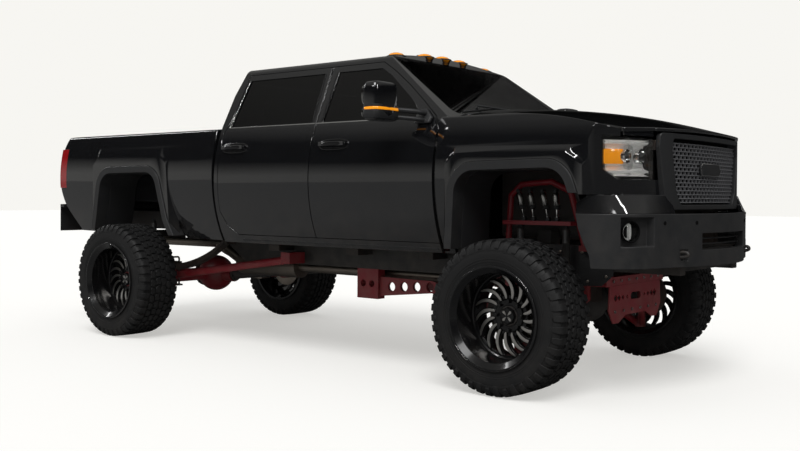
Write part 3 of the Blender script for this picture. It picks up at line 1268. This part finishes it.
# ------------------------------------------------------------------ bed: rail caps, ribs, fuel door
for side_name, side in SIDES:
    rows = []
    for x in spread(-2.770, -0.735, 24):
        rows.append([(x, side * y, z) for y, z in
                     ((0.815, 1.722), (0.812, 1.7352), (0.826, 1.7405), (0.925, 1.7405), (0.945, 1.7375),
                      (0.949, 1.730), (0.940, 1.722))])
    add_piece("bed_rail_cap_" + side_name, lofted(rows), trim)
    pocket = bmesh.new()
    block(pocket, (0, 0, 0), (0.075, 0.045, 0.004))
    repeated("stake_pockets_" + side_name, pocket, ROWS, interior, "root", "trim", Columns=3, Rows=1,
             Column_step=(0.78, 0, 0), Start=(-2.56, side * 0.876, 1.7405))
rows = [[(x, y, z) for y, z in ((-0.030, -0.006), (-0.020, 0.007), (0.020, 0.007), (0.030, -0.006))]
        for x in (-1.00, 1.00)]
rib_shape = lofted(rows)
repeated("bed_floor_ribs", rib_shape, ROWS, paint, "root", "paint", Columns=1, Rows=13,
         Row_step=(0, 0.092, 0), Start=(-1.775, -0.552, 1.201), smooth=0)
front_rib = lofted([[(x, y, z) for y, z in ((-0.03, -0.2), (0.03, -0.2), (0.03, 0.2), (-0.03, 0.2))]
                    for x in (-0.012, 0.0)])
repeated("bed_front_ribs", front_rib, ROWS, paint, "root", "paint", Columns=9, Rows=1,
         Column_step=(0, 0.17, 0), Start=(-0.766, -0.68, 1.46), smooth=0)
rows = []
for grow, lift in ((1.0, -0.002), (1.0, 0.0022), (0.955, 0.0030)):
    row = []
    for p in rounded_loop(0, 0, 0.090 * grow, 0.095 * grow, 6, 0):
        spot, normal = on_skin("pickup_bed", (-0.98 + p.x, 2.5, 1.46 + p.y), (0, -1, 0))
        row.append(spot + normal * lift)
    rows.append(row)
add_piece("fuel_door", lofted(rows), paint, smooth=50)

# ------------------------------------------------------------------ tail: lamps, handle, steps, blank plate
for side_name, side in SIDES:
    bars = bmesh.new()
    for z0, z1 in ((1.290, 1.375), (1.400, 1.470), (1.495, 1.600)):
        rows = []
        for z in (z0, z0 + 0.006, z1 - 0.006, z1):
            inset = 0.0 if z in (z0, z1) else 1.0
            row = []
            for y in spread(0.872, 0.962, 6):
                spot, normal = on_skin("tail_lamps", (-4, side * y, z), (1, 0, 0))
                row.append(spot + normal * 0.003 * inset)
            row += [p + Vector((0.01, 0, 0)) for p in reversed(row)]
            rows.append(row)
        capped(bars, rows)
    add_piece("tail_lamp_cells_" + side_name, outward(bars), red_lens)
    rows = []
    for z in (1.410, 1.414, 1.456, 1.460):
        row = []
        for y in spread(0.884, 0.940, 5):
            spot, normal = on_skin("tail_lamps", (-4, side * y, z), (1, 0, 0))
            row.append(spot + normal * (0.0048 if 1.411 < z < 1.459 else 0.003))
        row += [p + Vector((0.012, 0, 0)) for p in reversed(row)]
        rows.append(row)
    add_piece("reversing_lamp_" + side_name, lofted(rows), chrome)
surround = bmesh.new()
outer, inner = rounded_loop(0, 0, 0.150, 0.060, 7, 0), rounded_loop(0, 0, 0.132, 0.044, 7, 0)
rows = [[(x, p.x * grow, 1.600 + p.y * grow) for p in loop] for x, loop, grow in
        ((-2.846, outer, 1), (-2.8535, outer, 0.98), (-2.8535, inner, 1), (-2.832, inner, 1))]
closed_band(surround, rows, closed_rows=True)
add_piece("tailgate_handle_surround", outward(surround), rim_black, "tailgate")
seam = bmesh.new()
for z, high in ((1.475, 0.010), (1.300, 0.008)):
    rows = [[(-2.8495, y, z - high), (-2.8555, y, z - high * 0.5), (-2.8555, y, z + high * 0.5),
             (-2.8495, y, z + high)] for y in spread(-0.79, 0.79, 5)]
    capped(seam, rows)
add_piece("tailgate_creases", outward(seam), paint, "tailgate")
outline = rounded_loop(0, 0, 0.152, 0.076, 9, 0)
plate = lofted([[(x, p.x * grow, 0.985 + p.y * grow) for p in outline]
                for x, grow in ((-3.010, 1), (-3.022, 1), (-3.024, 0.985))])
add_piece("blank_number_plate", plate, milled)
pads = bmesh.new()
for y0, y1, x0, x1 in ((-0.82, -0.44, -3.020, -2.885), (0.44, 0.82, -3.020, -2.885),
                       (-0.40, 0.40, -2.975, -2.885)):
    z = 1.120 if abs(y0) > 0.41 else 1.0905
    block(pads, ((x0 + x1) / 2, (y0 + y1) / 2, z), (x1 - x0, y1 - y0, 0.006))
add_piece("bumper_step_pads", pads, interior, edge=0.0015)
stud = bmesh.new()
block(stud, (0, 0, 0), (0.014, 0.030, 0.005), taper=0.3)
for label, y in (("right", -0.80), ("left", 0.46)):
    repeated("bumper_step_grip_" + label, stud.copy(), ROWS, interior, "root", "trim",
             Columns=9, Rows=6, Column_step=(0, 0.042, 0), Row_step=(0.022, 0, 0), Shift=0.5,
             Start=(-3.008, y, 1.1245), smooth=0)
stud.free()

# ------------------------------------------------------------------ front suspension: shocks and bolts
def shock(shape_body, shape_shaft, shape_rubber, low, high, radius, collar=0.42):
    """A gas shock between two eyes: shaft below, collar, bright body above."""
    low, high = Vector(low), Vector(high)
    run = high - low
    length, way = run.length, run.normalized()
    drum(shape_shaft, low, way, [(0.0, radius * 0.55), (0.012, radius * 0.62), (0.024, radius * 0.42),
                                 (length * collar, radius * 0.42), (length * collar + 0.004, 0.001)], 20)
    drum(shape_rubber, low + way * (length * collar - 0.012), way,
         [(0.0, radius * 0.9), (0.003, radius * 1.22), (0.022, radius * 1.22), (0.026, radius * 0.95),
          (0.027, 0.001)], 20)
    drum(shape_body, low + way * length * collar, way,
         [(0.008, radius * 0.92), (0.010, radius), (length * 0.36, radius), (length * 0.365, radius * 1.08),
          (length * 0.385, radius * 1.08), (length * 0.39, radius), (length * (1 - collar) - 0.018, radius),
          (length * (1 - collar) - 0.010, radius * 0.7), (length * (1 - collar), radius * 0.5)], 20)
    for end in (low, high):
        drum(shape_rubber, end + Vector((0, -0.016, 0)), (0, 1, 0),
             [(0, 0.004), (0.001, radius * 0.62), (0.031, radius * 0.62), (0.032, 0.004)], 16)


def bolt_head(flange, head):
    """The profile of a flanged bolt head."""
    return [(0, flange), (0.003, flange), (0.004, head), (0.010, head), (0.011, 0.001)]


bodies, shafts, rubbers = bmesh.new(), bmesh.new(), bmesh.new()
long_bodies = bmesh.new()
for side_name, side in SIDES:
    for shift, lean in ((-0.170, -0.016), (-0.090, -0.010), (0.010, -0.016), (0.094, -0.004)):
        top = (FRONT_X + shift + lean, side * 0.596, 1.244 + 0.01 * (shift < 0.1))
        foot = (FRONT_X + shift - lean * 1.4, side * 0.584, 1.072)
        shock(bodies, shafts, rubbers, foot, top, 0.0215)
    for shift in (-0.19, 0.15):
        shock(long_bodies, shafts, rubbers, (FRONT_X + shift, side * 0.56, 0.530),
              (FRONT_X + shift, side * 0.56, 1.020), 0.0262)
    shock(long_bodies, shafts, rubbers, (-2.0, side * 0.62, 0.512), (-2.0, side * 0.62, 0.972), 0.0262)
shown = add_piece("shock_bodies_short", outward(bodies), shock_steel, smooth=50)
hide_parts("shock_absorbers")
add_piece("shock_bodies_long", outward(long_bodies), chassis, smooth=50)
add_piece("shock_shafts", outward(shafts), chrome, smooth=50)
add_piece("shock_bushes", outward(rubbers), interior, smooth=50)

for label, count, reach, z in (("upper", 7, 0.34, 0.672), ("lower", 6, 0.31, 0.472)):
    face = bmesh.new()
    for y in spread(-reach, reach, count):
        spot, normal = on_skin("skid_plate", (4, y, z), (-1, 0, 0))
        drum(face, spot - normal * 0.002, normal, bolt_head(0.012, 0.0085), 6)
    add_piece("skid_bolts_" + label, outward(face), shock_steel)

# splash panels beside the front rails
for side_name, side in SIDES:
    outline = [(2.06, 0.905), (2.06, 0.700), (2.16, 0.640), (2.40, 0.650), (2.48, 0.720), (2.48, 0.905)]
    shield = lofted([[(x, side * y, z) for x, z in outline] for y in (0.4715, 0.4755)])
    add_piece("frame_splash_panel_" + side_name, shield, interior, edge=0.001)
    bolts = bmesh.new()
    for x, z in ((2.10, 0.86), (2.26, 0.86), (2.42, 0.86), (2.12, 0.71), (2.30, 0.675), (2.43, 0.71)):
        drum(bolts, (x, side * 0.475, z), (0, side, 0), bolt_head(0.011, 0.008), 6)
    add_piece("frame_splash_bolts_" + side_name, outward(bolts), steel)

# brakes: a rotor that turns with every wheel, a caliper that stays on its knuckle or axle
BRAKE_Y = 0.918
for name, side, x in WHEELS:
    carrier = "knuckle_" + name.split("_")[1] if name.startswith("front") else "root"
    centre = Vector((x, side * BRAKE_Y, AXLE_Z))
    rotor = turned(centre, (0, side, 0), [(0, 0.105), (0.001, 0.178), (0.009, 0.178), (0.0095, 0.172),
                                          (0.0125, 0.172), (0.013, 0.178), (0.021, 0.178), (0.022, 0.106),
                                          (0.030, 0.100)], 64)
    add_piece("brake_rotor_" + name, rotor, steel, "wheel_" + name)
    rows = []
    for angle in spread(radians(118), radians(176), 9):
        rows.append([(x + r * cos(angle), side * (BRAKE_Y + dy), AXLE_Z + r * sin(angle)) for r, dy in
                     ((0.128, -0.034), (0.188, -0.034), (0.203, -0.020), (0.203, 0.026), (0.190, 0.036),
                      (0.132, 0.036), (0.132, 0.024), (0.184, 0.024), (0.184, -0.004), (0.128, -0.004))])
    add_piece("brake_caliper_" + name, lofted(rows), cast, carrier, edge=0.003)

# ------------------------------------------------------------------ rear axle: spring clamps and cover
for side_name, side in SIDES:
    clamps = bmesh.new()
    for dx in (-0.075, 0.075):
        path = bent([(REAR_X + dx, side * 0.500, 0.395), (REAR_X + dx, side * 0.500, 0.655),
                     (REAR_X + dx, side * 0.580, 0.655), (REAR_X + dx, side * 0.580, 0.395)], 0.02)
        tube(clamps, path, 0.0085, 10)
    block(clamps, (REAR_X, side * 0.540, 0.405), (0.21, 0.115, 0.014))
    add_piece("spring_clamps_" + side_name, outward(clamps), steel)
cover = bmesh.new()
drum(cover, (REAR_X, 0, AXLE_Z), (-1, 0, 0),
     [(0.140, 0.110), (0.146, 0.128), (0.156, 0.128), (0.160, 0.112), (0.176, 0.085), (0.182, 0.045),
      (0.183, 0.001)], 40)
for k in range(14):
    angle = tau * k / 14
    drum(cover, (REAR_X - 0.154, 0.119 * cos(angle), AXLE_Z + 0.119 * sin(angle)), (-1, 0, 0),
         [(0, 0.009), (0.010, 0.009), (0.011, 0.001)], 6)
add_piece("axle_cover", outward(cover), cast)

# ------------------------------------------------------------------ cabin: cushions
def cushion(shape, sections, power=3.2, count=28):
    """A soft pad lofted through (centre, across, thick, width, depth) sections, closed at both ends."""
    rows = []
    for centre, across, thick, width, depth in sections:
        row = []
        for i in range(count):
            a = tau * i / count
            c, s = cos(a), sin(a)
            row.append(centre + across * width / 2 * abs(c) ** (2 / power) * (1 if c > 0 else -1) +
                       thick * depth / 2 * abs(s) ** (2 / power) * (1 if s > 0 else -1))
        rows.append(row)
    capped(shape, rows)


def pad_between(shape, start, end, thick, width, depth, puff=0.10, steps=9, ends=0.72):
    """A pad along a line, fuller in its middle than at its ends."""
    start, end, thick = Vector(start), Vector(end), Vector(thick).normalized()
    across = (end - start).cross(thick).normalized()
    sections = []
    for k in range(steps):
        t = k / (steps - 1)
        edge = min(1.0, ends + (1 - ends) * min(t, 1 - t) * 7)
        grow = 1 + puff * sin(pi * t)
        sections.append((start.lerp(end, t), across, thick, width * edge, depth * edge * grow))
    cushion(shape, sections)


def seat_parts(x, y, width):
    """Each pad of one seat: its name, its two ends, the way it is thick, its width and its depth."""
    half = width / 2
    down, out = (0.05, 0, -1), (1, 0, 0.28)
    pads = [("squab", (x - 0.04, y, 1.245), (x + 0.455, y, 1.272), down, 2 * (half - 0.065), 0.130)]
    for label, way in (("in", -1), ("out", 1)):
        edge = y + way * half - way * 0.050
        pads.append(("squab_bolster_" + label, (x + 0.00, edge, 1.255), (x + 0.43, edge, 1.275), down,
                     0.105, 0.165))
    pads.append(("back", (x + 0.015, y, 1.300), (x - 0.130, y, 1.800), out, 2 * (half - 0.060), 0.130))
    for label, way in (("in", -1), ("out", 1)):
        low = (x + 0.045, y + way * half - way * 0.045, 1.320)
        high = (x - 0.095, y + way * half - way * 0.055, 1.770)
        pads.append(("back_bolster_" + label, low, high, out, 0.095, 0.165))
    pads.append(("head_restraint", (x - 0.141, y, 1.835), (x - 0.150, y, 1.985), (1, 0, 0.06), 0.235, 0.086))
    return pads


def quilted(made, pleats):
    """Presses stitched pleats and a soft crumple into a cushion."""
    vertices = made.data.vertices
    normals = [v.normal.copy() for v in vertices]
    places = [v.co.copy() for v in vertices]
    low, high = min(p.y for p in places), max(p.y for p in places)
    for v, spot, normal in zip(vertices, places, normals):
        sink = 0.0
        if pleats > 1:
            place = (spot.y - low) / (high - low) * pleats
            groove = max(0.0, 1 - abs(place - round(place)) / 0.10)
            sink = 0.006 * groove * groove
        wrinkle = noise.noise(spot * 9.0) * 0.0022 + noise.noise(spot * 26.0) * 0.0008
        v.co = spot + normal * (wrinkle - sink)


seat_rows = [("front_right", 0.370, -0.400, 0.540), ("front_left", 0.370, 0.400, 0.540),
             ("rear_right", -0.400, -0.500, 0.560), ("rear_middle", -0.400, 0.0, 0.420),
             ("rear_left", -0.400, 0.500, 0.560)]
first_pad = True
for seat_name, x, y, width in seat_rows:
    for label, start, end, thick, wide, depth in seat_parts(x, y, width):
        if seat_name == "rear_middle" and label == "head_restraint":
            continue
        shape = bmesh.new()
        pad_between(shape, start, end, thick, wide, depth)
        outward(shape)
        bmesh.ops.subdivide_edges(shape, edges=list(shape.edges), cuts=1, use_grid_fill=True)
        bmesh.ops.smooth_vert(shape, verts=list(shape.verts), factor=0.5, use_axis_x=True, use_axis_y=True,
                              use_axis_z=True)
        made = add_piece(f"seat_{seat_name}_{label}", shape, leather, smooth=180)
        fine = made.modifiers.new("fine", "SUBSURF")
        fine.levels = fine.render_levels = 1
        applied(made)
        made.data.shade_smooth()
        quilted(made, 4 if label in ("squab", "back") else 1)
        if first_pad:
            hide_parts("seats")
            first_pad = False
    seams = bmesh.new()
    half = width / 2
    for dy in (-(half - 0.098), half - 0.098):
        tube(seams, bent([(x + 0.01, y + dy, 1.322), (x + 0.42, y + dy, 1.343)], 0.02), 0.0035, 8)
        tube(seams, bent([(x + 0.092, y + dy, 1.36), (x - 0.052, y + dy * 0.96, 1.77)], 0.02), 0.0035, 8)
    add_piece(f"seat_{seat_name}_piping", outward(seams), interior)
    rows = []
    for z, grow in ((0.9055, 0.80), (0.925, 0.84), (1.120, 0.92), (1.185, 0.98)):
        rows.append([(x + 0.19 + dx * grow, y + dy * grow, z) for dx, dy in
                     ((-0.20, -half * 0.92), (0.22, -half * 0.92), (0.25, -half * 0.80), (0.25, half * 0.80),
                      (0.22, half * 0.92), (-0.20, half * 0.92))])
    add_piece(f"seat_{seat_name}_base", lofted(rows), interior, edge=0.006)
    rows = []
    for t in spread(0, 1, 6):
        centre = Vector((x - 0.035 - 0.145 * t, y, 1.200 + 0.58 * t))
        grow = 1 - 0.10 * t
        rows.append([(centre.x + dx, centre.y + dy * grow, centre.z) for dx, dy in
                     ((0.020, -half * 0.90), (-0.028, -half * 0.84), (-0.040, -half * 0.5),
                      (-0.040, half * 0.5), (-0.028, half * 0.84), (0.020, half * 0.90))])
    add_piece(f"seat_{seat_name}_back_shell", lofted(rows), interior, edge=0.008)
    if seat_name != "rear_middle":
        posts = bmesh.new()
        for dy in (-0.055, 0.055):
            tube(posts, [Vector((x - 0.128, y + dy, 1.77)), Vector((x - 0.140, y + dy, 1.86))], 0.006, 10)
        add_piece(f"seat_{seat_name}_posts", outward(posts), chrome)

# ------------------------------------------------------------------ cabin: dashboard, console, wheel
rows = []
for out, grow in ((0.0, 1.0), (0.014, 1.0), (0.020, 0.95)):
    rows.append([(1.158 - out - 0.10 * (p.y - 1.545), p.x, p.y)
                 for p in rounded_loop(-0.04, 1.545, 0.18 * grow, 0.075 * grow, 8, 0, 36)])
add_piece("dash_screen", lofted(rows), rim_black)
hood_shape = bmesh.new()
rows = []
for x, grow in ((1.190, 0.98), (1.120, 1.02), (1.100, 1.03), (1.104, 0.94), (1.150, 0.90)):
    rows.append([(x, 0.400 + p.x * grow, 1.595 + p.y * grow)
                 for p in rounded_loop(0, 0, 0.190, 0.070, 3, 0, 36)])
closed_band(hood_shape, rows)
made = add_piece("gauge_cowl", hood_shape, interior, smooth=50)
walled(made, 0.003)
gauges = bmesh.new()
for y in (0.310, 0.490):
    drum(gauges, (1.150, y, 1.590), (-1, 0, 0.15),
         [(0, 0.060), (0.010, 0.060), (0.012, 0.056), (0.004, 0.052), (0.004, 0.001)], 40)
for y in (0.385, 0.415):
    drum(gauges, (1.150, y, 1.625), (-1, 0, 0.15),
         [(0, 0.022), (0.008, 0.022), (0.009, 0.019), (0.004, 0.018), (0.004, 0.001)], 24)
add_piece("gauges", outward(gauges), chrome)
vents = bmesh.new()
for y in (-0.70, -0.30, 0.20, 0.70):
    for k in range(5):
        block(vents, (1.140, y, 1.500 + 0.014 * k), (0.012, 0.110, 0.004))
add_piece("dash_vents", vents, interior, edge=0.0008)
knobs = bmesh.new()
for y in (-0.15, 0.07):
    drum(knobs, (1.158, y, 1.415), (-1, 0, 0.3),
         [(0, 0.024), (0.018, 0.022), (0.022, 0.018), (0.022, 0.001)], 24)
for k in range(6):
    block(knobs, (1.150, -0.115 + 0.030 * k, 1.440), (0.010, 0.022, 0.014))
add_piece("dash_controls", knobs, chrome, edge=0.0012)
grab = bmesh.new()
block(grab, (1.136, -0.50, 1.400), (0.008, 0.36, 0.150))
add_piece("glovebox_lid", grab, interior, edge=0.006)
lid = bmesh.new()
block(lid, (0.620, 0, 1.312), (0.34, 0.215, 0.030))
add_piece("console_lid", lid, leather, edge=0.010)
lever = turned((0.98, 0, 1.298), (0.1, 0, 1), [(0, 0.040), (0.010, 0.038), (0.016, 0.020), (0.018, 0.008),
                                               (0.100, 0.007), (0.104, 0.020), (0.130, 0.024), (0.150, 0.018),
                                               (0.156, 0.002)], 24)
add_piece("gear_lever", lever, interior, smooth=50)

# the steering wheel: padded rim, three spokes, hub pad
WHEEL_SPOT = Vector((0.985, 0.400, 1.520))
COLUMN = Vector((-0.882948, 0, 0.469472)).normalized()
WHEEL_UP = Vector((0, 1, 0)).cross(COLUMN).normalized()
WHEEL_ACROSS = Vector((0, 1, 0))
rim_shape = bmesh.new()
rows = []
for i in range(72):
    a = tau * i / 72
    out = WHEEL_ACROSS * cos(a) + WHEEL_UP * sin(a)
    grip = 0.0148 - 0.0012 * (1 if i % 18 in (0, 1) else 0)
    rows.append([WHEEL_SPOT + out * (0.1842 + grip * cos(q)) + COLUMN * grip * sin(q)
                 for q in (tau * k / 14 for k in range(14))])
closed_band(rim_shape, rows, closed_rows=True)
made = add_piece("steering_rim", outward(rim_shape), leather, "steering_wheel", smooth=60)
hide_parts("steering_wheel")
spokes_shape = bmesh.new()
for angle in (0, pi, 1.5 * pi):
    out = WHEEL_ACROSS * cos(angle) + WHEEL_UP * sin(angle)
    cross = out.cross(COLUMN)
    rows = []
    for reach, half, thick in ((0.040, 0.030, 0.010), (0.100, 0.020, 0.008), (0.150, 0.016, 0.007),
                               (0.178, 0.020, 0.007)):
        spot = WHEEL_SPOT + out * reach - COLUMN * 0.012 * (1 - reach / 0.18)
        rows.append([spot + cross * c * half + COLUMN * n * thick for c, n in
                     ((-1, -0.6), (-0.9, 0.8), (0, 1), (0.9, 0.8), (1, -0.6), (0, -1))])
    capped(spokes_shape, rows)
add_piece("steering_spokes", outward(spokes_shape), interior, "steering_wheel", smooth=50)
rows = []
for lift, grow in ((-0.026, 0.55), (-0.020, 0.92), (-0.004, 1.0), (0.006, 0.95), (0.011, 0.70),
                   (0.0125, 0.3)):
    rows.append([WHEEL_SPOT + WHEEL_ACROSS * p.x * grow + WHEEL_UP * p.y * grow + COLUMN * lift
                 for p in rounded_loop(0, 0, 0.068, 0.056, 3.2, 0, 36)])
add_piece("steering_pad", lofted(rows), interior, "steering_wheel", smooth=60)
pedals = bmesh.new()
for y, z, wide, high in ((0.30, 1.08, 0.060, 0.120), (0.44, 1.10, 0.090, 0.060)):
    block(pedals, (1.235, y, z), (0.012, wide, high))
    tube(pedals, [Vector((1.240, y, z)), Vector((1.300, y, z + 0.12)), Vector((1.300, y, z + 0.25))], 0.008,
         8)
add_piece("pedals", pedals, steel, edge=0.001)
